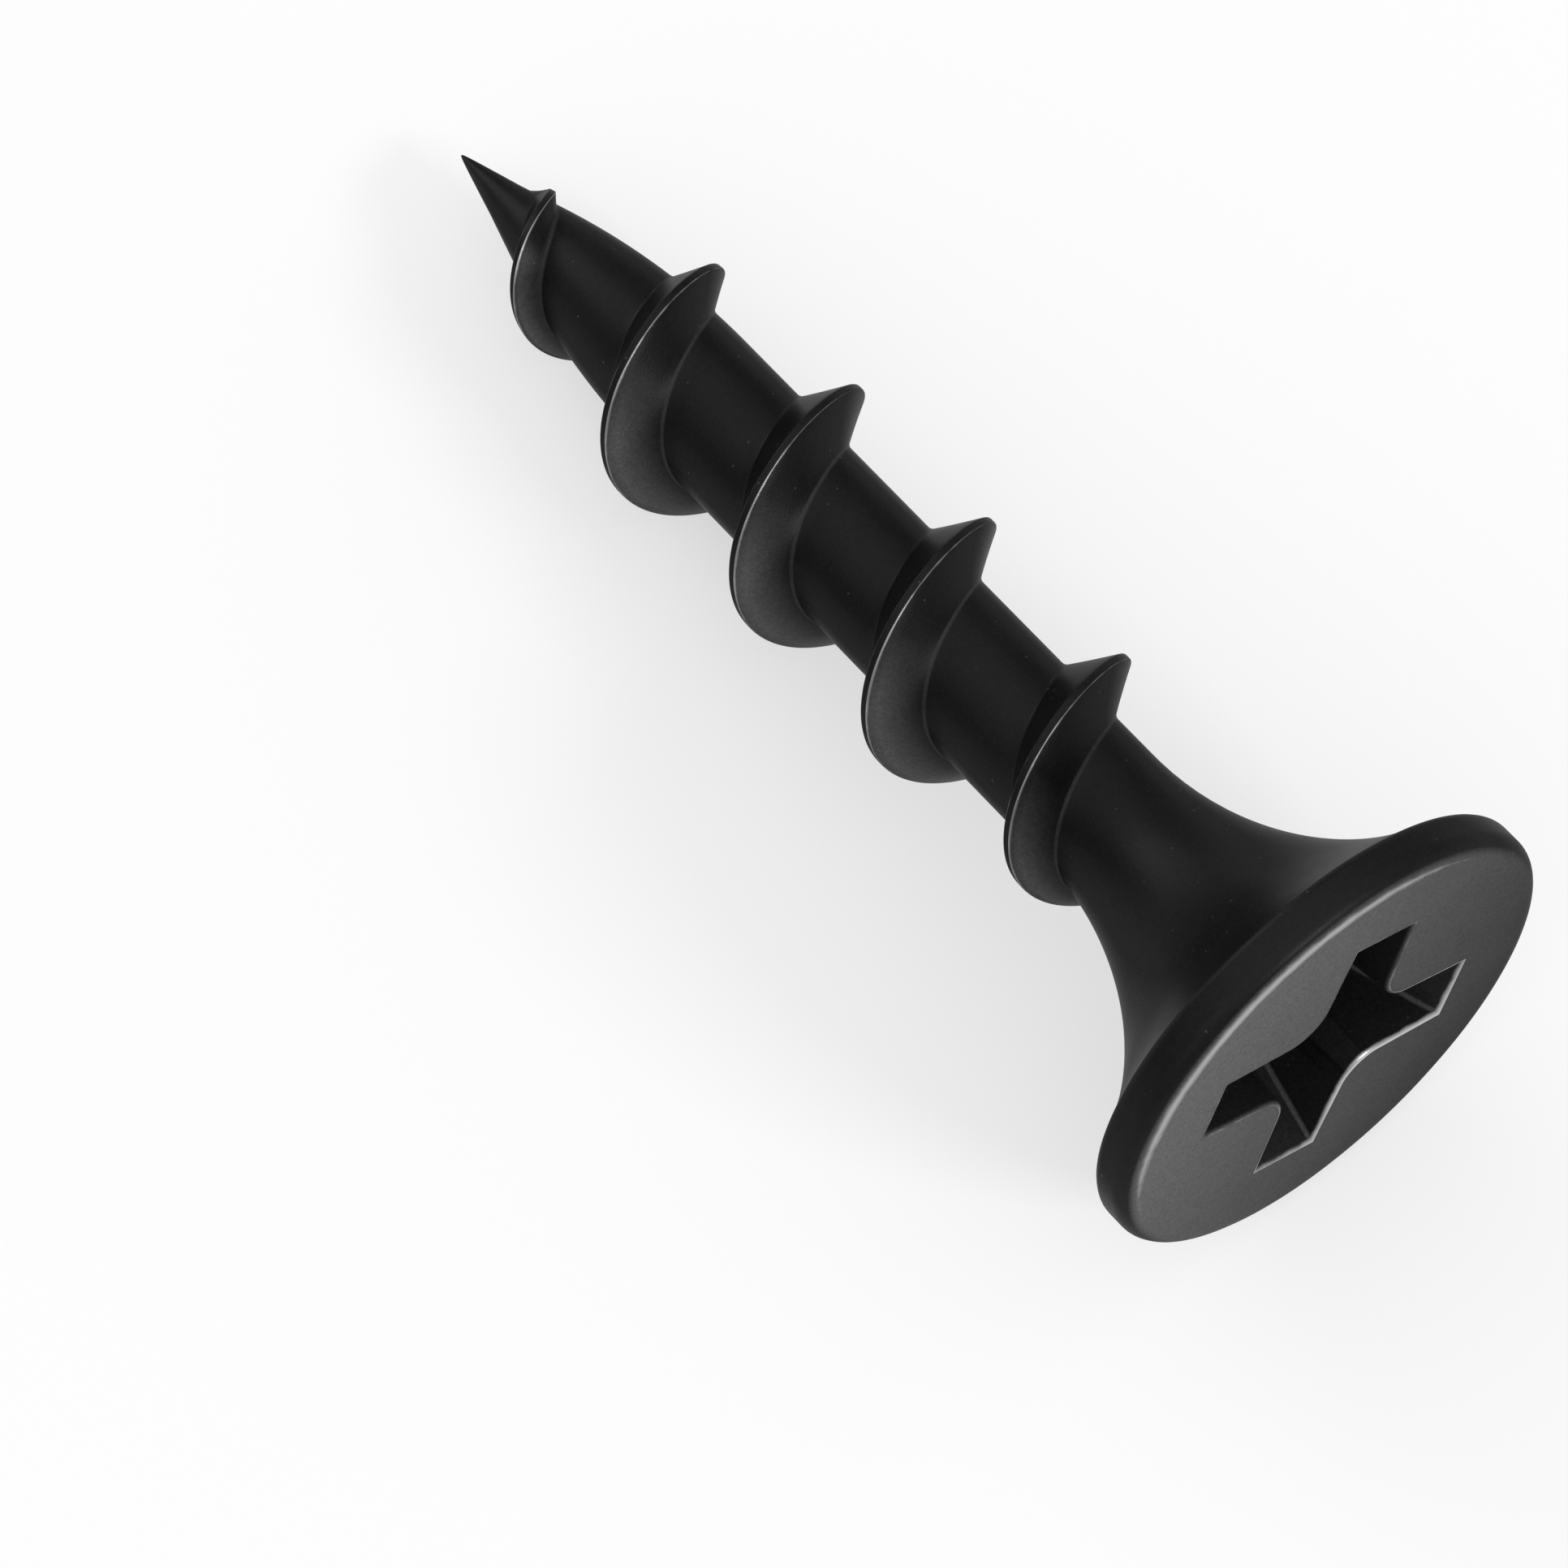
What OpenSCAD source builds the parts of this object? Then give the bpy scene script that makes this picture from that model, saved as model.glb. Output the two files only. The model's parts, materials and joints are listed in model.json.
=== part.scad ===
// Coarse-thread drywall screw: a bugle head with a cross recess, a rolled
// single-start thread and a sharp point, made from one piece of steel.
// It is drawn standing on its head and then laid on its side, where it rests
// on the rim of the head and on two turns of the thread.

/* [Head] */
// Diameter of the head
head_d = 8.2; // [7.6:0.1:9.4]
// Height from the flat face to the lower edge of the rim
rim_h = 0.56; // [0.45:0.01:0.9]
// Rounding of the edge between face and rim
face_round = 0.28; // [0.05:0.01:0.3]
// Rounding of the edge between rim and bugle
rim_round = 0.19; // [0.05:0.01:0.25]
// Radius of the hollow bugle curve under the head
bugle_r = 5.2; // [4:0.1:8]

/* [Shank and point] */
// Overall length
length = 21.2; // [19:0.1:60]
// Diameter of the shank between the turns of the thread
root_d = 2.3; // [2:0.05:2.6]
// Full angle of the point
point_angle = 32; // [26:1:44]
// Radius of the curve that joins the shank and the point
point_curve_r = 14; // [4:0.5:18]

/* [Thread] */
// Outer diameter of the thread
crest_d = 3.85; // [3.4:0.05:4.4]
// Pitch of the thread
pitch = 3.2; // [2.4:0.05:4]
// Width of the narrow land on the crest
crest_w = 0.12; // [0.05:0.01:0.2]
// Reach of the flank that faces the head
head_flank = 0.5; // [0.3:0.01:0.7]
// Reach of the flank that faces the point
point_flank = 0.58; // [0.3:0.01:0.7]
// How far each flank is hollowed at half its height
flank_hollow = 0; // [0:0.01:0.08]
// Reach of the thread onto the bugle curve
bugle_reach = 1.35; // [0:0.05:1.6]
// Length over which the thread grows from the bugle to its full height
head_run = 2.6; // [1.5:0.1:4]
// Height of the thread on the point
point_crest = 0.42; // [0.2:0.01:0.6]
// Length over which the thread falls to that height past the shank
point_fade = 2.4; // [1:0.1:3.5]
// Length over which the thread ends on the point
end_run = 1.2; // [0.5:0.1:2]
// Bare length of the point beyond the thread
point_bare = 1.4; // [1:0.1:3]

/* [Cross recess] */
// Span of the recess across two opposite wings at the face
recess_span = 5; // [4.7:0.05:5.4]
// Width of a wing at the face
wing_w = 1.15; // [0.9:0.05:1.4]
// Flare of the sides of a wing towards the middle, in degrees
wing_flare = 3; // [0:0.5:6]
// Depth of the wings
wing_depth = 2.3; // [1.5:0.05:2.4]
// Extra depth of the pointed floor at the middle
floor_depth = 0.45; // [0.2:0.05:0.6]
// Lean of the end wall of a wing, in degrees
end_lean = 26; // [10:1:28]
// Lean of the side walls of a wing, in degrees
side_lean = 4; // [0:0.5:6]
// Rounding of the corners between the wings at the face
corner_r = 0.6; // [0.2:0.05:0.75]
// Turn of the recess from the start of the thread, in degrees
recess_turn = 88; // [0:1:89]

/* [Hidden] */

steel = "#2b2c2e";
turn_steps = 40;
ring_steps = 96;
round_steps = 5;
bugle_steps = 24;
point_steps = 6;
corner_steps = 6;
sink = 0.2;
bury = 0.06;
cut_over = 0.2;

head_r = head_d / 2;
root_r = root_d / 2;
crest_h = (crest_d - root_d) / 2;

// The bugle arc is centred outside the shank. It touches the shank at bugle_end
// and the rounding of the rim at rim_angle.
bugle_x = root_r + bugle_r;
rim_angle = acos((bugle_x - head_r + rim_round) / (bugle_r + rim_round));
bugle_end = rim_h + (bugle_r + rim_round) * sin(rim_angle);

// The point is a cone, joined to the shank by an arc that touches both
half_point = point_angle / 2;
cone_r = root_r - point_curve_r * (1 - cos(half_point));
cone_z = length - cone_r / tan(half_point);
shank_end = cone_z - point_curve_r * sin(half_point);

thread_from = bugle_end - bugle_reach;
thread_to = length - point_bare;
thread_steps = ceil((thread_to - thread_from) / pitch * turn_steps);

// Points of an arc about the centre c, from angle a0 to angle a1, after the
// first one if it would repeat the last point before it
function arc(c, r, a0, a1, steps, first = 0) =
    [for (i = [first:steps]) let (a = a0 + (a1 - a0) * i / steps) c + r * [cos(a), sin(a)]];

// Radius of the screw without its thread at the distance z from the face
function core_r(z) =
    z < bugle_end ? bugle_x - sqrt(pow(bugle_r, 2) - pow(bugle_end - z, 2)) :
    z < shank_end ? root_r :
    z < cone_z ? root_r - point_curve_r + sqrt(pow(point_curve_r, 2) - pow(z - shank_end, 2)) :
    (length - z) * tan(half_point);

// Height of the crest over the core: it grows from the bugle, stays full along
// the shank and lower on the point, and both ends run out under the surface
function share(t) = min(1, max(0, t));
function rise(t) = sin(90 * share(t));
function tall(z) = crest_h
    + (point_crest - crest_h) * (1 - cos(180 * share((z - shank_end) / point_fade))) / 2;
function crest_over(z) = (tall(z) + bury)
    * min(rise((z - thread_from) / head_run), rise((thread_to - z) / end_run)) - bury;

// Section of the thread at z, as points of radius and height. Its feet lie under
// the surface of the core, and each flank has one hollowed point halfway.
function section(z) =
    let (
        h = crest_over(z),
        back = head_flank * (h + sink) / crest_h,
        front = point_flank * (h + sink) / crest_h,
        hollow = flank_hollow * share(h / crest_h),
        top_back = [core_r(z) + h, z - crest_w / 2],
        top_front = [core_r(z) + h, z + crest_w / 2],
        foot_back = [core_r(z - back) - sink, z - crest_w / 2 - back],
        foot_front = [core_r(z + front) - sink, z + crest_w / 2 + front]
    )
    [
        foot_back,
        (foot_back + top_back) / 2 + [0, hollow],
        top_back,
        top_front,
        (foot_front + top_front) / 2 - [0, hollow],
        foot_front
    ];

// Place and turn of each step of the thread
thread_z = [for (i = [0:thread_steps]) thread_from + (thread_to - thread_from) * i / thread_steps];
thread_a = [for (z = thread_z) 360 * (z - thread_from) / pitch];

// How the screw rests: it rolls until it tips over its rim as far as it can, and
// then two turns of the thread touch the ground beside the line of the shank
crests = [for (i = [0:thread_steps]) let (t = section(thread_z[i])[3]) [t[0], t[1], thread_a[i]]];
function tilt_at(roll) = min([for (c = crests)
    let (a = head_r - rim_round - c[0] * cos(c[2] - roll), b = c[1] - rim_h)
    atan2(a, b) + asin(rim_round / norm([a, b]))]);
function best_roll(rolls) =
    let (tilts = [for (r = rolls) tilt_at(r)], best = max(tilts))
    [for (i = [0:len(rolls) - 1]) if (tilts[i] == best) rolls[i]][0];
rough_roll = best_roll([for (r = [0:2:358]) r]);
rest_roll = best_roll([for (r = [-2:0.05:2]) rough_roll + r]);
rest_tilt = tilt_at(rest_roll);
rest_h = (head_r - rim_round) * cos(rest_tilt) + rim_h * sin(rest_tilt) + rim_round;
rest_back = (head_r - face_round) * sin(rest_tilt) - face_round * cos(rest_tilt) + face_round;
rest_front = length * cos(rest_tilt);

module core() {
    profile = concat(
        [[0, 0]],
        arc([head_r - face_round, face_round], face_round, -90, 0, round_steps),
        arc([head_r - rim_round, rim_h], rim_round, 0, rim_angle, round_steps),
        arc([bugle_x, bugle_end], bugle_r, 180 + rim_angle, 180, bugle_steps, 1),
        arc([root_r - point_curve_r, shank_end], point_curve_r, 0, half_point, point_steps),
        [[0, length]]
    );
    rotate_extrude($fn = ring_steps) polygon(profile);
}

module thread() {
    n = len(section(thread_from));
    end = thread_steps * n;
    points = [for (i = [0:thread_steps]) for (p = section(thread_z[i]))
        [p[0] * cos(thread_a[i]), p[0] * sin(thread_a[i]), p[1]]];
    sides = [for (i = [0:thread_steps - 1]) for (j = [0:n - 1])
        let (a = i * n + j, b = i * n + (j + 1) % n) each [[a, b, b + n], [a, b + n, a + n]]];
    start_cap = [for (j = [n:-1:1]) (j + 1) % n];
    end_cap = [for (j = [0:n - 1]) end + (j + 1) % n];
    polyhedron(points, concat(sides, [start_cap, end_cap]));
}

// Outline of the recess at the distance z from the face. The rounded corners between
// its wings are arcs about corner_out on both axes, and touch the sides of the wings.
corner_out = (wing_w / 2 + recess_span / 2 * tan(wing_flare) + corner_r / cos(wing_flare))
    / (1 + tan(wing_flare));
function recess_outline(z) =
    let (
        reach = recess_span / 2 - z * tan(end_lean),
        half_w = wing_w / 2 - z * tan(side_lean),
        bend_r = (corner_out - half_w - (reach - corner_out) * tan(wing_flare)) * cos(wing_flare),
        wing = concat([[reach, -half_w], [reach, half_w]],
            arc([corner_out, corner_out], bend_r, 270 - wing_flare, 180 + wing_flare, corner_steps))
    )
    [for (a = [0:90:270]) for (p = wing)
        [p[0] * cos(a) - p[1] * sin(a), p[0] * sin(a) + p[1] * cos(a), z]];

module recess() {
    mouth = recess_outline(-cut_over);
    floor_edge = recess_outline(wing_depth);
    n = len(mouth);
    points = concat(mouth, floor_edge, [[0, 0, -cut_over], [0, 0, wing_depth + floor_depth]]);
    faces = [for (i = [0:n - 1]) let (a = i, b = (i + 1) % n)
        each [[a, a + n, b + n], [a, b + n, b], [a, b, 2 * n], [b + n, a + n, 2 * n + 1]]];
    rotate(recess_turn) polyhedron(points, faces);
}

module screw() {
    color(steel)
        translate([(rest_back - rest_front) / 2, 0, rest_h])
        rotate([0, 90 + rest_tilt, 0])
        rotate(-rest_roll)
        union() {
            difference() {
                core();
                recess();
            }
            thread();
        }
}

screw();
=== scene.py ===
import json
import math

import bmesh
import bpy
from mathutils import Matrix, Vector


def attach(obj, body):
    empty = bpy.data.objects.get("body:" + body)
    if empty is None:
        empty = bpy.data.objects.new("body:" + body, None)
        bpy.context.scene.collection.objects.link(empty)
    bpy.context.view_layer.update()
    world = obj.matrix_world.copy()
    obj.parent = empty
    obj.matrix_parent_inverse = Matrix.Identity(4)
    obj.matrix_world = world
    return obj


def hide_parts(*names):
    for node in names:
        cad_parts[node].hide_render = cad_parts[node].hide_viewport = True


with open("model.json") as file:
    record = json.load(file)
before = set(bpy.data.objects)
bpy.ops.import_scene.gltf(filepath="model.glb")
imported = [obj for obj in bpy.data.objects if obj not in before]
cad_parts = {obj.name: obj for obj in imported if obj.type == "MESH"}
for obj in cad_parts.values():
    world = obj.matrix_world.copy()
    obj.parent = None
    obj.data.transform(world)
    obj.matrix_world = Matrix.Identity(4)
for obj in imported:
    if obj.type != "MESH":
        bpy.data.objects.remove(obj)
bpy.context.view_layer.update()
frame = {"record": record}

# Sizes of the screw in millimetres, the same as those of its solid. It is modelled
# upright on a bench, with the face of the head at z = 0 and the point at the top,
# and then laid down where the frame has it.
length = 21.2
head_r = 4.1
rim_h = 0.56
face_round = 0.28
rim_round = 0.19
bugle_r = 5.2
root_r = 1.15
half_point = math.radians(16)
point_curve_r = 14

pitch = 3.2
crest_h = 0.775
crest_w = 0.12
head_flank = 0.5
point_flank = 0.58
bugle_reach = 1.35
head_run = 2.6
point_crest = 0.42
point_fade = 2.4
end_run = 1.2
point_bare = 1.4

recess_reach = 2.5
wing_half = 0.575
wing_depth = 2.3
floor_depth = 0.45
end_lean = math.radians(26)
side_lean = math.radians(4)
wing_flare = math.radians(3)
corner_r = 0.6
recess_turn = math.radians(88)

# Finer details that only this script has, in millimetres
crest_edge = 0.02
root_fillet = 0.05
face_lip = 0.1
punch_edge = 0.07
tip_blunt = 0.1
tip_run = 1.2
least_r = 0.02

# How finely the curves are divided
sweep_turns = 7
turn_steps = 168
flank_cuts = 4
land_cuts = 3
tip_steps = 12
bugle_steps = 30
rim_steps = 6
face_steps = 10
flat_rings = 3
corner_steps = 10
edge_steps = 4

# Points closer than these, in millimetres, are taken as one or as lying at one corner, and
# are merged where the sweep meets itself or on a ring that a cut has left
same_place = 1e-4
same_corner = 0.01
sweep_merge = 0.0005
cut_merge = 0.002

# The sides where the edge wear with its painted highlight, and the painted sheen, are strongest, as
# angles round the bench
face_edge_wear_and_highlight_side = math.radians(218)
face_sheen_side = math.radians(195)
crest_wear_and_highlight_side = math.radians(195)
flank_sheen_side = math.radians(142)
mouth_wear_and_highlight_side = math.radians(37)

# Wear along the edges, which is also a painted highlight: its grey, partly metallic lines are
# strongest on the sides where highlights fall. Each distance from an edge counts by a share, and
# places with less of it have a fade added, in millimetres: the sides away from the strongest one,
# the side of a crest towards the point and a crest that is low.
face_edge_share = 0.27
face_edge_side_fade = 0.16
face_edge_in = 0.02
crest_share = 0.75
crest_side_fade = 0.03
land_steepness = 4
point_side_fade = 0.02
low_crest = 0.25
low_crest_fade = 0.3
mouth_share = 0.5
mouth_side_fade = 0.05
mouth_fade_most = 0.036

# Painted light, as a share of a paler grey: painted sheen on the flat of the face and on the flanks
# that face the head, and painted highlight lines along the root of those flanks and up the corners
# of the recess
face_sheen_share = 0.55
face_sheen_more = 0.45
flank_sheen_share = 1.1
flank_narrowing = 2.6
root_highlight_share = 0.2
crease_highlight_share = 0.45
face_depth = 0.05
least_height = 0.1
root_highlight_line = (0.02, 0.05)
crease_highlight_line = (0.5 * punch_edge, punch_edge)

# The bugle arc is centred outside the shank. It touches the shank at bugle_end and
# the rounding of the rim at rim_angle. An arc joins the shank and the point.
bugle_x = root_r + bugle_r
rim_angle = math.acos((bugle_x - head_r + rim_round) / (bugle_r + rim_round))
bugle_end = rim_h + (bugle_r + rim_round) * math.sin(rim_angle)
cone_r = root_r - point_curve_r * (1 - math.cos(half_point))
cone_z = length - cone_r / math.tan(half_point)
shank_end = cone_z - point_curve_r * math.sin(half_point)
thread_from = bugle_end - bugle_reach
thread_to = length - point_bare

# The corners between the wings of the recess are arcs about points this far out on
# both of its axes, and touch the flared sides of the wings
flare = math.tan(wing_flare)
corner_out = (wing_half + recess_reach * flare + corner_r / math.cos(wing_flare)) / (1 + flare)
middle_half = corner_out - corner_r

# Where the plain ends of the screw join its threaded part, and where its head ends
head_cut = thread_from - 0.25
tip_cut = length - tip_run
head_top = 1.5


def core_r(z):
    """Radius of the screw without its thread at the distance z from the face."""
    if z < bugle_end:
        return bugle_x - math.sqrt(bugle_r**2 - (bugle_end - max(z, rim_h)) ** 2)
    if z < shank_end:
        return root_r
    if z < cone_z:
        return root_r - point_curve_r + math.sqrt(point_curve_r**2 - (z - shank_end) ** 2)
    return max(least_r, (length - z) * math.tan(half_point))


def clamped(share):
    return min(1, max(0, share))


def fading(distance, full, gone):
    """1 as far as the distance full, and 0 from the distance gone."""
    return clamped((gone - distance) / (gone - full))


def crest_over(z):
    """Height of the crest over the core: it grows from the bugle and falls along the point."""
    fall = (1 - math.cos(math.pi * clamped((z - shank_end) / point_fade))) / 2
    full = crest_h + (point_crest - crest_h) * fall
    start = math.sin(math.pi / 2 * clamped((z - thread_from) / head_run))
    end = math.sin(math.pi / 2 * clamped((thread_to - z) / end_run))
    return full * min(start, end)


def nearest_crest(place):
    """Height of the crest line straight over or under a place, whichever is nearer."""
    turn = math.atan2(place.y, place.x) / math.tau
    return thread_from + pitch * (turn + round((place.z - thread_from) / pitch - turn))


def flank_share(height):
    """Reach of the flanks where the thread has that height, as a share of their full reach."""
    return max(0.3, height / crest_h)


def narrowed(offset, share):
    """Where a point of the thread's outline lies once its flanks have that share of their reach."""
    land = crest_w / 2
    foot = land + (head_flank if offset < 0 else point_flank)
    low_foot = land + (foot - land) * share
    away = abs(offset)
    if away > foot:
        away = low_foot + (away - foot) * (pitch / 2 - low_foot) / (pitch / 2 - foot)
    elif away > land:
        away = land + (away - land) * share
    return math.copysign(away, offset)


# Bench work


def put_down():
    """Leaves edit mode, with nothing selected."""
    if bpy.context.object and bpy.context.object.mode == "EDIT":
        bpy.ops.object.mode_set(mode="OBJECT")
    bpy.ops.object.select_all(action="DESELECT")


def pick_up(piece, mode="VERT"):
    """Puts one piece in edit mode, with nothing selected on it."""
    put_down()
    piece.select_set(True)
    bpy.context.view_layer.objects.active = piece
    bpy.ops.object.mode_set(mode="EDIT")
    bpy.ops.mesh.select_mode(type=mode)
    bpy.ops.mesh.select_all(action="DESELECT")


def select(kind, here):
    """Selects the vertices, edges or faces of the piece in edit mode for which here is true."""
    data = bpy.context.object.data
    mesh = bmesh.from_edit_mesh(data)
    bpy.ops.mesh.select_all(action="DESELECT")
    for part in getattr(mesh, kind):
        if here(part):
            part.select_set(True)
    mesh.select_flush_mode()
    bmesh.update_edit_mesh(data)


def middle(part):
    """Middle of an edge or face."""
    return sum((v.co for v in part.verts), Vector()) / len(part.verts)


def radius_of(place):
    return math.hypot(place.x, place.y)


def draw_rings(stations, start):
    """Extrudes the selected ring through the stations, each a radius and a height."""
    r_now, z_now = start
    for r, z in stations:
        bpy.ops.mesh.extrude_region_move(TRANSFORM_OT_translate={"value": (0, 0, z - z_now)})
        bpy.ops.transform.resize(value=(r / r_now, r / r_now, 1), center_override=(0, 0, z))
        r_now, z_now = r, z


def arc(centre, radius, start, end, steps):
    """Stations along an arc, without its first point. Angles run from outwards towards the tip."""
    angles = [start + (end - start) * i / steps for i in range(1, steps + 1)]
    return [(centre[0] + radius * math.cos(a), centre[1] + radius * math.sin(a)) for a in angles]


# The screw


def thread_outline():
    """One pitch of the thread as a line, from root to root, with eased corners."""
    bpy.ops.mesh.primitive_plane_add(size=1)
    outline = bpy.context.object
    land = crest_w / 2
    head_foot, point_foot = -land - head_flank, land + point_flank
    crest_r = root_r + crest_h
    corners = [
        (root_r, -pitch / 2),
        (root_r, head_foot),
        (crest_r, -land),
        (crest_r, land),
        (root_r, point_foot),
        (root_r, pitch / 2),
    ]
    pick_up(outline)
    bpy.ops.mesh.select_all(action="SELECT")
    bpy.ops.mesh.merge(type="CENTER")
    bpy.ops.transform.translate(value=(corners[0][0], 0, corners[0][1]))
    for (r0, z0), (r1, z1) in zip(corners, corners[1:]):
        bpy.ops.mesh.extrude_region_move(TRANSFORM_OT_translate={"value": (r1 - r0, 0, z1 - z0)})

    def ease(places, offset):
        points = [Vector((r, 0, z)) for r, z in places]
        select("verts", lambda v: any((v.co - point).length < same_place for point in points))
        bpy.ops.mesh.bevel(affect="VERTICES", offset=offset, segments=3)

    ease([corners[2], corners[3]], crest_edge)
    ease([corners[1], corners[4]], root_fillet)
    pick_up(outline, "EDGE")
    select("edges", lambda e: e.calc_length() > head_flank)
    bpy.ops.mesh.subdivide(number_cuts=flank_cuts)
    select("edges", lambda e: (middle(e) - Vector((crest_r, 0, 0))).length < same_corner)
    bpy.ops.mesh.subdivide(number_cuts=land_cuts)
    put_down()
    return outline


def roll_thread(outline):
    """Sweeps the line up the shank as a helix, and fits it to the bugle, shank and point."""
    outline.location.z = thread_from - pitch
    outline.select_set(True)
    bpy.context.view_layer.objects.active = outline
    bpy.ops.object.transform_apply(location=True, rotation=False, scale=False)
    bpy.ops.object.modifier_add(type="SCREW")
    sweep = outline.modifiers[-1]
    sweep.axis = "Z"
    sweep.angle = math.tau
    sweep.screw_offset = pitch
    sweep.iterations = sweep_turns
    sweep.steps = sweep.render_steps = turn_steps
    bpy.ops.object.modifier_apply(modifier=sweep.name)
    pick_up(outline)
    bpy.ops.mesh.select_all(action="SELECT")
    bpy.ops.mesh.remove_doubles(threshold=sweep_merge)
    put_down()
    for v in outline.data.vertices:
        angle = math.atan2(v.co.y, v.co.x)
        crest_z = nearest_crest(v.co)
        share = (radius_of(v.co) - root_r) / crest_h
        height = crest_over(crest_z)
        z = crest_z + narrowed(v.co.z - crest_z, flank_share(height))
        r = core_r(z) + share * height
        v.co = (r * math.cos(angle), r * math.sin(angle), z)
    return outline


def draw_point(screw):
    """Cuts the threaded part square beyond the thread and draws it out to a slightly blunt tip."""
    pick_up(screw)
    bpy.ops.mesh.select_all(action="SELECT")
    bpy.ops.mesh.bisect(plane_co=(0, 0, tip_cut), plane_no=(0, 0, 1), clear_outer=True)
    select("verts", lambda v: abs(v.co.z - tip_cut) < same_place)
    bpy.ops.mesh.remove_doubles(threshold=cut_merge)

    def point_r(left):
        blunt = tip_blunt * (1 - left / tip_run)
        return math.tan(half_point) * math.sqrt(left**2 + 2 * left * blunt)

    lefts = [tip_run * (1 - i / tip_steps) ** 2 for i in range(1, tip_steps)]
    draw_rings([(point_r(left), length - left) for left in lefts], (core_r(tip_cut), tip_cut))
    bpy.ops.mesh.extrude_region_move(TRANSFORM_OT_translate={"value": (0, 0, lefts[-1])})
    bpy.ops.mesh.merge(type="CENTER")


def draw_head(screw):
    """Cuts the other end square and draws it out to the bugle, the rim and the face."""
    pick_up(screw)
    bpy.ops.mesh.select_all(action="SELECT")
    bpy.ops.mesh.bisect(plane_co=(0, 0, head_cut), plane_no=(0, 0, 1), clear_inner=True)
    select("verts", lambda v: abs(v.co.z - head_cut) < same_place)
    bpy.ops.mesh.remove_doubles(threshold=cut_merge)
    start_angle = math.asin((bugle_end - head_cut) / bugle_r)
    bugle = arc(
        (bugle_x, bugle_end), bugle_r, math.pi + start_angle, math.pi + rim_angle, bugle_steps
    )
    rim_lower = arc((head_r - rim_round, rim_h), rim_round, rim_angle, 0, rim_steps)
    flat_r = head_r - face_round
    rim_upper = arc((flat_r, face_round), face_round, 0, -math.pi / 2, face_steps)
    flat = [(flat_r - i * face_lip, 0) for i in range(1, flat_rings + 1)]
    stations = bugle + rim_lower + [(head_r, face_round)] + rim_upper + flat
    draw_rings(stations, (core_r(head_cut), head_cut))
    put_down()


def punch_recess():
    """Lining of the cross recess, with a flat lip round its mouth, open towards the head."""
    lip_half = middle_half + face_lip
    bpy.ops.mesh.primitive_plane_add(size=2 * lip_half)
    lining = bpy.context.object
    pick_up(lining, "EDGE")
    run = recess_reach - middle_half
    narrow = (wing_half + face_lip) / lip_half
    for x, y in ((1, 0), (0, 1), (-1, 0), (0, -1)):
        side = Vector((x, y, 0))
        end = side * (lip_half + run)
        select("edges", lambda e: (middle(e) - side * lip_half).length < same_place)
        bpy.ops.mesh.extrude_region_move(TRANSFORM_OT_translate={"value": side * run})
        bpy.ops.transform.resize(value=(narrow, narrow, 1), center_override=end)
    bpy.ops.mesh.select_all(action="SELECT")
    bpy.ops.mesh.dissolve_faces()
    pick_up(lining)
    select("verts", lambda v: radius_of(v.co) < 1.5 * lip_half)
    bpy.ops.mesh.bevel(affect="VERTICES", offset=corner_r - face_lip, segments=corner_steps)
    pick_up(lining, "FACE")
    bpy.ops.mesh.select_all(action="SELECT")
    bpy.ops.mesh.inset(thickness=face_lip, depth=0)
    bpy.ops.mesh.extrude_region_move(TRANSFORM_OT_translate={"value": (0, 0, wing_depth)})
    lean_walls(lining)
    pick_up(lining, "FACE")
    select("faces", lambda f: middle(f).z > 0.99 * wing_depth)
    bpy.ops.mesh.poke()
    pick_up(lining)
    select("verts", lambda v: radius_of(v.co) < same_corner)
    bpy.ops.transform.translate(value=(0, 0, floor_depth))
    ease_recess(lining)
    lining.select_set(True)
    lining.rotation_euler.z = recess_turn
    bpy.ops.object.transform_apply(location=False, rotation=True, scale=False)
    return lining


def lean_walls(lining):
    """Moves the floor's outline in, so that the walls of the wings and of their corners lean."""
    end_in = wing_depth * math.tan(end_lean)
    side_in = wing_depth * math.tan(side_lean)
    pick_up(lining)
    for sx, sy in ((1, 1), (-1, 1), (-1, -1), (1, -1)):
        pivot = Vector((sx * corner_out, sy * corner_out, wing_depth))

        def on_corner(v):
            away = v.co - pivot
            return abs(away.length - corner_r) < same_corner and v.co.z > 0.5 * wing_depth

        select("verts", on_corner)
        grow = (corner_r + side_in + end_in * flare) / corner_r
        bpy.ops.transform.resize(value=(grow, grow, 1), center_override=pivot)
        for along in (Vector((sx, 0, 0)), Vector((0, sy, 0))):
            across = Vector((sx, sy, 0)) - along
            tip = recess_reach * along + wing_half * across + Vector((0, 0, wing_depth))
            select("verts", lambda v: (v.co - tip).length < same_corner)
            bpy.ops.transform.translate(value=-end_in * along - side_in * across)
    put_down()


def ease_recess(lining):
    """Eases the mouth, the upright corners at the wings' ends and the edge of the floor."""

    def to_ease(e):
        low, high = sorted(v.co.z for v in e.verts)
        if high < same_place:
            return len(e.link_faces) == 2 and any(abs(f.normal.z) < 0.9 for f in e.link_faces)
        if low < same_place:
            return max(radius_of(v.co) for v in e.verts) > recess_reach - same_corner
        return high < wing_depth + same_corner

    pick_up(lining, "EDGE")
    select("edges", to_ease)
    bpy.ops.mesh.bevel(offset=punch_edge, segments=edge_steps)
    put_down()


def away_from(side, place):
    """From 0 on that side of the screw to 1 on the opposite one."""
    return 0.5 - 0.5 * math.cos(math.atan2(place.y, place.x) - side)


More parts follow.
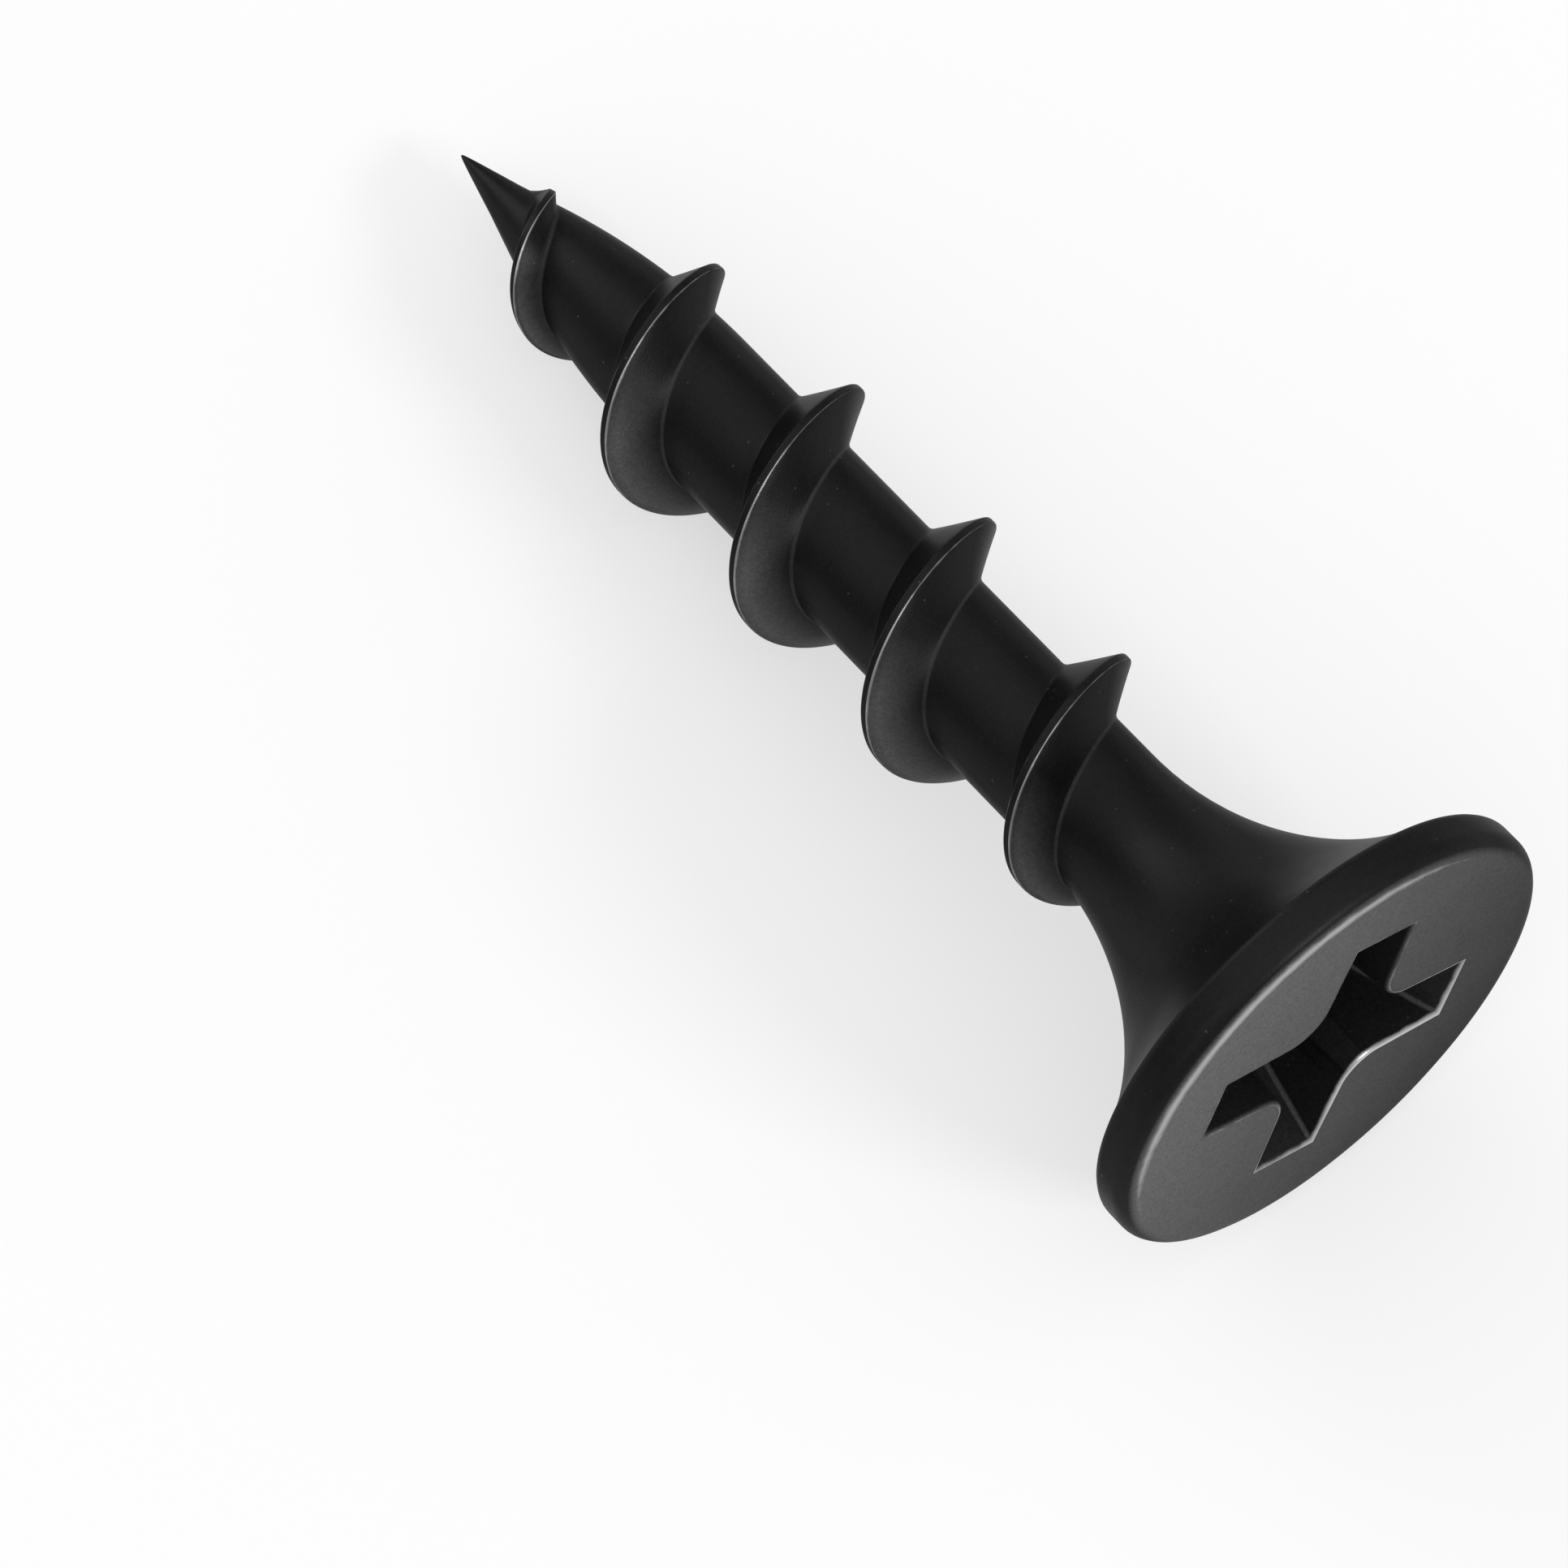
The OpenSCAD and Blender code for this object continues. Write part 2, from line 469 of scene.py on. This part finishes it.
def edge_gap(place):
    """Distance in millimetres from the nearest edge of the outer surface that wears and carries a
    painted highlight.
    """
    r = radius_of(place)
    if place.z < head_top:
        edge_r = head_r - face_round - face_edge_in
        away = away_from(face_edge_wear_and_highlight_side, place)
        return face_edge_share * math.hypot(r - edge_r, place.z) + face_edge_side_fade * away**1.5
    crest_z = nearest_crest(place)
    height = crest_over(crest_z)
    below = core_r(place.z) + height - r
    beside = abs(place.z - crest_z) - crest_w / 2
    # On the land the gap grows faster, so that the land's two edges stay apart
    beside = max(beside, -land_steepness * beside)
    away = away_from(crest_wear_and_highlight_side, place)
    faded = crest_side_fade * math.sqrt(away) + low_crest_fade * clamped(1 - height / low_crest)
    if place.z > crest_z:
        faded += point_side_fade * (1 - away)
    return crest_share * math.hypot(below, beside) + faded


def mouth_gap(v):
    """The same distance for a vertex of the recess's lining."""
    if v.is_boundary:
        return face_lip
    faded = mouth_side_fade * math.sqrt(away_from(mouth_wear_and_highlight_side, v.co))
    return mouth_share * v.co.z + min(mouth_fade_most, faded)


def face_sheen(place):
    """Painted sheen on the coat of the face: more on one side, and only on the flat."""
    along = place.x * math.cos(face_sheen_side) + place.y * math.sin(face_sheen_side)
    return fading(place.z, 0, face_depth) * (face_sheen_share + face_sheen_more * along / head_r)


def outer_sheen(place):
    """Painted sheen on the face and on the flanks that face the head, and a painted highlight line
    along the root of those flanks.
    """
    if place.z < thread_from:
        return face_sheen(place)
    crest_z = nearest_crest(place)
    height = crest_over(crest_z)
    above = radius_of(place) - core_r(place.z)
    up = clamped(above / max(height, least_height))
    ahead = clamped((crest_z - crest_w / 2 - place.z) / crest_edge)
    beside = clamped(1 - flank_narrowing * away_from(flank_sheen_side, place))
    root_z = crest_z - crest_w / 2 - head_flank * flank_share(height)
    root = fading(math.hypot(above, place.z - root_z), *root_highlight_line)
    return max(flank_sheen_share * up * ahead * beside, root_highlight_share * root)


def lining_sheen(place):
    """The same in the recess: painted sheen on the lip as on the face, and painted highlight lines
    up its corners.
    """
    if place.z < face_depth:
        return face_sheen(place)
    angle = math.atan2(place.y, place.x) - recess_turn
    angle -= round(angle / (math.pi / 2)) * math.pi / 2
    along = radius_of(place) * math.cos(angle) - recess_reach + place.z * math.tan(end_lean)
    across = radius_of(place) * abs(math.sin(angle)) - wing_half + place.z * math.tan(side_lean)
    return crease_highlight_share * fading(math.hypot(along, across), *crease_highlight_line)


def note_edges(piece, gap_of, sheen_of):
    """Notes on each point how far it is from an edge that is worn and painted with a highlight, and
    how much painted sheen or highlight it has, for the coat.
    """
    mesh = bmesh.new()
    mesh.from_mesh(piece.data)
    notes = {
        "edge_gap": [gap_of(v) for v in mesh.verts],
        "rub": [sheen_of(v.co) for v in mesh.verts],
    }
    mesh.free()
    for name, values in notes.items():
        note = piece.data.attributes.new(name, "FLOAT", "POINT")
        note.data.foreach_set("value", values)


def close_face(screw, lining):
    """Joins the recess to the head and fills the flat of the face between them."""
    put_down()
    screw.select_set(True)
    lining.select_set(True)
    bpy.context.view_layer.objects.active = screw
    bpy.ops.object.join()
    pick_up(screw, "EDGE")
    select("edges", lambda e: e.is_boundary)
    bpy.ops.mesh.fill(use_beauty=True)
    bpy.ops.mesh.select_all(action="SELECT")
    bpy.ops.mesh.normals_make_consistent(inside=False)
    put_down()


def lay_down(screw):
    """Lays the screw where the frame has it, and takes it from millimetres to metres."""
    mounts = {m["name"]: m for m in frame["record"]["mounts"]}
    centre = Vector(mounts["drive_recess"]["pos_m"])
    axis = -Vector(mounts["drive_recess"]["axis"]).normalized()
    side = -axis.cross(Vector((0, 0, 1))).cross(axis).normalized()
    # The mount on the face lies midway between two wings of the recess
    spot = Vector(mounts["head_face"]["pos_m"]) - centre
    spot_angle = math.atan2(spot.y, spot.dot(side))
    roll = recess_turn + math.pi / 4 - spot_angle
    turn = Matrix((side, axis.cross(side), axis)).transposed().to_4x4()
    scale = Matrix.Scale(0.001, 4)
    screw.matrix_world = Matrix.Translation(centre) @ turn @ Matrix.Rotation(-roll, 4, "Z") @ scale
    screw.select_set(True)
    bpy.context.view_layer.objects.active = screw
    bpy.ops.object.transform_apply(location=True, rotation=True, scale=True)


def make_screw(outside, inside):
    """Makes the screw from the outline of its thread, with its coat, where the frame has it."""
    put_down()
    screw = roll_thread(thread_outline())
    screw.name = screw.data.name = "drywall_screw"
    draw_point(screw)
    draw_head(screw)
    note_edges(screw, lambda v: edge_gap(v.co), outer_sheen)
    screw.data.materials.append(outside)
    lining = punch_recess()
    note_edges(lining, mouth_gap, lining_sheen)
    lining.data.materials.append(inside)
    close_face(screw, lining)
    lay_down(screw)
    bpy.ops.object.shade_smooth_by_angle(angle=math.radians(40))
    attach(screw, "root")
    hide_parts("screw")


# Materials

# The coat. Tones are shares of its own colour or of its painted sheen, widths are shares of the
# width of its worn edges, which are also painted highlights, and the height of its crystals is in
# metres.
crystals_per_metre = 26000
crystal_tones = (0.8, 1.25)
crystal_height = 0.000004
crystal_bump = 0.3
patches_per_metre = 450
patch_tones = (0.75, 1.25)
specks_per_metre = 9000
speck_size = 0.22
speck_share = 0.06
speck_colour = (0.06, 0.06, 0.062, 1)
# A paler grey for painted sheen and painted highlight lines
sheen_colour = (0.1, 0.1, 0.1, 1)
sheen_tones = (0.84, 1.16)
roughness_spread = 0.05
worn_smoothness = 0.18
wear_and_highlight_widths = (0.8, 1.15)
coat_ior = 1.2

# The gloss of the coat falls to a share of itself as the surface turns away, from the first
# of these values of Facing to the second. Its mean share stands in where that isn't read.
gloss_falls = (0.2, 0.6)
side_gloss = 0.2
mean_gloss = 0.6

# Where the values of a noise lie, nearly all of them
noise_span = (0.3, 0.7)


def new_group(name, inputs, outputs):
    """An empty node group. Its inputs are names, kinds and values, its outputs names."""
    group = bpy.data.node_groups.new(name, "ShaderNodeTree")
    for label, kind, value in inputs:
        socket = group.interface.new_socket(label, in_out="INPUT", socket_type=kind)
        if value is not None:
            socket.default_value = value
    for label in outputs:
        group.interface.new_socket(label, in_out="OUTPUT", socket_type="NodeSocketFloat")
    given = group.nodes.new("NodeGroupInput").outputs
    out = group.nodes.new("NodeGroupOutput").inputs
    return group, given, out


def add(tree, kind, links=(), **values):
    """Adds a node, sets its own values and sets or links its inputs."""
    node = tree.nodes.new(kind)
    for name, value in values.items():
        setattr(node, name, value)
    for socket, source in dict(links).items():
        if isinstance(source, bpy.types.NodeSocket):
            tree.links.new(source, node.inputs[socket])
        else:
            node.inputs[socket].default_value = source
    return node


def worked(tree, operation, first, second):
    """The result of one operation on two values."""
    return add(tree, "ShaderNodeMath", {0: first, 1: second}, operation=operation).outputs[0]


def ranged(tree, value, given, wanted, interpolation="LINEAR"):
    """A value taken from the given range to the wanted one."""
    links = {
        "Value": value,
        "From Min": given[0],
        "From Max": given[1],
        "To Min": wanted[0],
        "To Max": wanted[1],
    }
    node = add(tree, "ShaderNodeMapRange", links, interpolation_type=interpolation)
    return node.outputs["Result"]


def mixed(tree, factor, first, second):
    """A mix of two colours."""
    links = {"Factor": factor, 6: first, 7: second}
    return add(tree, "ShaderNodeMix", links, data_type="RGBA").outputs[2]


def grain_group():
    """Fine crystals of a phosphate coat: their height, and how dark or light each one is."""
    group, given, out = new_group(
        "coat grain",
        [("Place", "NodeSocketVector", None), ("Grains per metre", "NodeSocketFloat", 20000)],
        ["Height", "Shade"],
    )
    links = {"Vector": given["Place"], "Scale": given["Grains per metre"]}
    fine = add(group, "ShaderNodeTexNoise", {**links, "Detail": 3})
    cells = add(group, "ShaderNodeTexVoronoi", links)
    tint = add(group, "ShaderNodeSeparateColor", {0: cells.outputs["Color"]})
    height = worked(group, "SUBTRACT", fine.outputs[0], cells.outputs["Distance"])
    group.links.new(height, out["Height"])
    group.links.new(tint.outputs[0], out["Shade"])
    return group


def speck_group():
    """Sparse specks, such as loose crystals and dust."""
    group, given, out = new_group(
        "specks",
        [
            ("Place", "NodeSocketVector", None),
            ("Specks per metre", "NodeSocketFloat", 9000),
            ("Size", "NodeSocketFloat", 0.25),
            ("Share", "NodeSocketFloat", 0.1),
        ],
        ["Mask"],
    )
    links = {"Vector": given["Place"], "Scale": given["Specks per metre"]}
    cells = add(group, "ShaderNodeTexVoronoi", links)
    chance = add(group, "ShaderNodeSeparateColor", {0: cells.outputs["Color"]})
    chosen = worked(group, "LESS_THAN", chance.outputs[0], given["Share"])
    inside = ranged(group, cells.outputs["Distance"], (given["Size"], 0), (0, 1))
    group.links.new(worked(group, "MULTIPLY", chosen, inside), out["Mask"])
    return group


def wear_and_highlight_group():
    """Wear along edges, which is also a painted highlight: strongest on the edge, broken up by
    noise, gone at the given width.
    """
    group, given, out = new_group(
        "edge wear",
        [
            ("Place", "NodeSocketVector", None),
            ("Gap", "NodeSocketFloat", 1),
            ("Width", "NodeSocketFloat", 0.04),
            ("Breaks per metre", "NodeSocketFloat", 3000),
        ],
        ["Mask"],
    )
    links = {"Vector": given["Place"], "Scale": given["Breaks per metre"], "Detail": 4}
    noise = add(group, "ShaderNodeTexNoise", links)
    uneven = ranged(group, noise.outputs[0], noise_span, wear_and_highlight_widths)
    width = worked(group, "MULTIPLY", given["Width"], uneven)
    worn_and_highlighted = ranged(group, given["Gap"], (width, 0), (0, 1), "SMOOTHSTEP")
    group.links.new(worn_and_highlighted, out["Mask"])
    return group


def phosphate(name, groups, coat, worn_and_highlighted, bare, roughness, wear_and_highlight_width, gloss):
    """Black phosphate on steel, which is worn along its edges.

    Coat is the colour of the coat and the next colour that of its worn edges, which are also
    painted highlights; bare is how far the steel shows in those edges, whose width is given in
    millimetres. A paler grey adds painted sheen and painted highlight lines where the points note
    them.
    """
    grain, specks, wear_and_highlight = groups
    material = bpy.data.materials.new(name)
    material.use_nodes = True
    tree = material.node_tree
    shader = tree.nodes["Principled BSDF"]

    def feed(socket, source):
        tree.links.new(source, shader.inputs[socket])

    def group(kind, **links):
        links = {label.replace("_", " "): source for label, source in links.items()}
        return add(tree, "ShaderNodeGroup", links, node_tree=kind).outputs

    place = add(tree, "ShaderNodeTexCoord").outputs["Object"]
    gap = add(tree, "ShaderNodeAttribute", attribute_name="edge_gap").outputs["Fac"]
    rub = add(tree, "ShaderNodeAttribute", attribute_name="rub").outputs["Fac"]
    crystals = group(grain, Place=place, Grains_per_metre=crystals_per_metre)
    dust = group(
        specks, Place=place, Specks_per_metre=specks_per_metre, Size=speck_size, Share=speck_share
    )
    edges = group(wear_and_highlight, Place=place, Gap=gap, Width=wear_and_highlight_width)["Mask"]
    noise = {"Vector": place, "Scale": patches_per_metre, "Detail": 3}
    patches = add(tree, "ShaderNodeTexNoise", noise).outputs[0]

    dark, light = [(*[tone * c for c in coat], 1) for tone in patch_tones]
    shade = ranged(tree, crystals["Shade"], (0, 1), crystal_tones)
    links = {0: mixed(tree, patches, dark, light), "Scale": shade}
    grained = add(tree, "ShaderNodeVectorMath", links, operation="SCALE").outputs[0]
    dusted = mixed(tree, dust["Mask"], grained, speck_colour)
    # Painted sheen and painted highlight lines pale the coat, and worn edges that are also painted
    # highlights turn it grey
    uneven = ranged(tree, crystals["Shade"], (0, 1), sheen_tones)
    with_sheen = mixed(tree, worked(tree, "MULTIPLY", rub, uneven), dusted, sheen_colour)
    feed("Base Color", mixed(tree, edges, with_sheen, (*worn_and_highlighted, 1)))

    feed("Metallic", worked(tree, "MULTIPLY", edges, bare))
    rough_span = (roughness - roughness_spread, roughness + roughness_spread)
    rough = ranged(tree, patches, noise_span, rough_span)
    smoother = worked(tree, "MULTIPLY", edges, worn_smoothness)
    feed("Roughness", worked(tree, "SUBTRACT", rough, smoother))

    links = {"Strength": crystal_bump, "Distance": crystal_height, "Height": crystals["Height"]}
    feed("Normal", add(tree, "ShaderNodeBump", links).outputs[0])

    shader.inputs["IOR"].default_value = coat_ior
    shader.inputs["Specular IOR Level"].default_value = mean_gloss * gloss
    facing = add(tree, "ShaderNodeLayerWeight").outputs["Facing"]
    feed("Specular IOR Level", ranged(tree, facing, gloss_falls, (gloss, side_gloss * gloss)))
    return material


def make_materials():
    """The coat outside, and in the recess, where it is duller and paler: the paler coat is painted
    light in the recess's shade.
    """
    groups = (grain_group(), speck_group(), wear_and_highlight_group())
    # Outside, the grey of the worn edges is also a painted highlight
    outside = phosphate(
        "black_phosphate",
        groups,
        coat=(0.0055, 0.0055, 0.0058),
        worn_and_highlighted=(0.4, 0.4, 0.4),
        bare=0.85,
        roughness=0.4,
        wear_and_highlight_width=0.04,
        gloss=0.5,
    )
    # In the recess the paler coat is painted light against the recess's shade, and the brighter
    # grey of its worn lip a painted highlight
    inside = phosphate(
        "recess_phosphate",
        groups,
        coat=(0.0095, 0.0095, 0.01),
        worn_and_highlighted=(0.55, 0.55, 0.55),
        bare=0.8,
        roughness=0.45,
        wear_and_highlight_width=0.045,
        gloss=0.12,
    )
    return outside, inside


# The studio

plain_white = (1, 1, 1, 1)
floor_colour = (0.94, 0.94, 0.94, 1)
floor_radius = 1.2
floor_whiteness = 0.55
dome_strength = 0.76

# In gloss the room is dim at the sides and bright overhead, between these heights
room_heights = (0.3, 0.95)
room_strengths = (0.22, 1.75)


def either(tree, ray, *kinds):
    """1 for rays of any of those kinds, else 0."""
    found = ray.outputs[kinds[0]]
    for kind in kinds[1:]:
        found = worked(tree, "MAXIMUM", found, ray.outputs[kind])
    return found


def make_floor():
    """A wide pale floor, paler still to the camera and in gloss. It keeps the screw's shadow."""
    bpy.ops.mesh.primitive_circle_add(
        vertices=96, radius=floor_radius, fill_type="NGON", location=(0, 0, 0)
    )
    floor = bpy.context.object
    floor.name = "floor"
    material = bpy.data.materials.new("pale_floor")
    material.use_nodes = True
    tree = material.node_tree
    shader = tree.nodes["Principled BSDF"]
    shader.inputs["Base Color"].default_value = floor_colour
    shader.inputs["Roughness"].default_value = 0.8
    shader.inputs["Specular IOR Level"].default_value = 0
    white = add(tree, "ShaderNodeEmission", {"Color": plain_white, "Strength": 1})
    ray = add(tree, "ShaderNodeLightPath")
    seen = either(tree, ray, "Is Camera Ray", "Is Glossy Ray", "Is Transmission Ray")
    share = worked(tree, "MULTIPLY", seen, floor_whiteness)
    links = {0: share, 1: shader.outputs[0], 2: white.outputs[0]}
    mix = add(tree, "ShaderNodeMixShader", links)
    tree.links.new(mix.outputs[0], tree.nodes["Material Output"].inputs["Surface"])
    floor.data.materials.append(material)


def make_world():
    """Soft light from all round. Gloss shows the room, and the camera sees plain white."""
    world = bpy.data.worlds.new("room")
    bpy.context.scene.world = world
    world.use_nodes = True
    tree = world.node_tree
    tree.nodes.clear()

    def background(strength):
        links = {"Color": plain_white, "Strength": strength}
        return add(tree, "ShaderNodeBackground", links).outputs[0]

    def choose(factor, first, second):
        return add(tree, "ShaderNodeMixShader", {0: factor, 1: first, 2: second}).outputs[0]

    view = add(tree, "ShaderNodeTexCoord")
    height = add(tree, "ShaderNodeSeparateXYZ", {0: view.outputs["Generated"]}).outputs["Z"]
    room = background(ranged(tree, height, room_heights, room_strengths, "SMOOTHSTEP"))
    ray = add(tree, "ShaderNodeLightPath")
    in_gloss = choose(ray.outputs["Is Glossy Ray"], background(dome_strength), room)
    in_view = either(tree, ray, "Is Camera Ray", "Is Transmission Ray")
    seen = choose(in_view, in_gloss, background(1))
    out = tree.nodes.new("ShaderNodeOutputWorld")
    tree.links.new(seen, out.inputs[0])


def make_lamp(name, place, width, depth, power):
    """A soft box at place that faces the screw, in metres and watts."""
    bpy.ops.object.light_add(type="AREA", location=place)
    lamp = bpy.context.object
    lamp.name = name
    lamp.data.shape = "RECTANGLE"
    lamp.data.size = width
    lamp.data.size_y = depth
    lamp.data.energy = power
    lamp.rotation_euler = Vector(place).to_track_quat("Z", "Y").to_euler()


def make_camera():
    """The camera looks steeply down on the screw from over its head."""
    elevation = math.radians(70.21)
    heading = math.radians(-39.64)
    distance = 0.1075
    aim = Vector((-0.000983, 0.003002, 0.001423))
    ahead = Vector((math.cos(heading), math.sin(heading), 0))
    back = -math.cos(elevation) * ahead + math.sin(elevation) * Vector((0, 0, 1))
    bpy.ops.object.camera_add(location=aim + distance * back)
    camera = bpy.context.object
    camera.rotation_euler = back.to_track_quat("Z", "Y").to_euler()
    camera.data.lens = 159.7
    camera.data.sensor_width = 36
    camera.data.clip_start = 0.005
    camera.data.clip_end = 5
    bpy.context.scene.camera = camera


outside, inside = make_materials()
make_screw(outside, inside)
make_floor()
make_world()
make_lamp("key", (-0.365, -0.099, 0.243), width=0.14, depth=0.05, power=0.75)
make_lamp("fill", (-0.05, 0.42, 0.25), width=0.3, depth=0.3, power=0.1)
make_lamp("back", (0.42, 0.02, 0.13), width=0.25, depth=0.2, power=0.45)
make_camera()
bpy.context.scene.view_settings.view_transform = "Standard"
